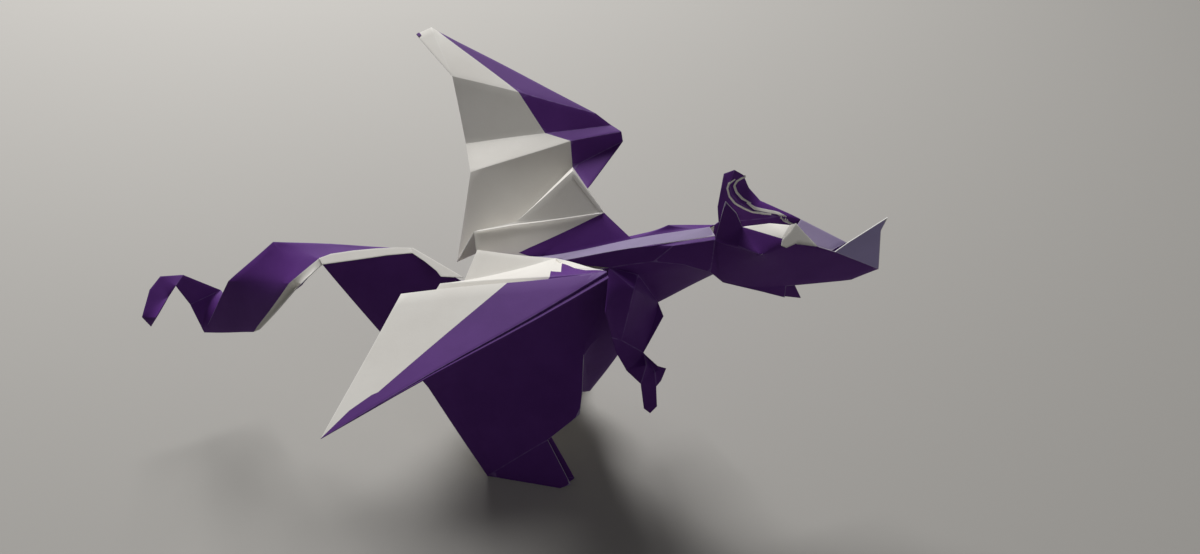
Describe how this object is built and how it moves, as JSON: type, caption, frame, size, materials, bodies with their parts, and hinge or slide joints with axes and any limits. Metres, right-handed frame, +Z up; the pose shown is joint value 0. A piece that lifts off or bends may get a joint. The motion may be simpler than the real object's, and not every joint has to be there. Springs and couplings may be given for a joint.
{
  "type": "origami dragon",
  "caption": "Standing dragon folded from one sheet of two-coloured paper, with pleated spread wings, a zigzag tail, long jaws and bent forelegs.",
  "frame": {"origin": "centre of the bounding box, at the soles of the hind feet", "axes": "+X towards the head, +Y towards the dragon's left wing, +Z up"},
  "size_m": [0.1754, 0.117, 0.0813],
  "materials": {
    "paper": "smooth uncoated folding paper, violet on one side and white on the other"
  },
  "bodies": {
    "root": {"folded_dragon": "paper"}
  },
  "joints": []
}
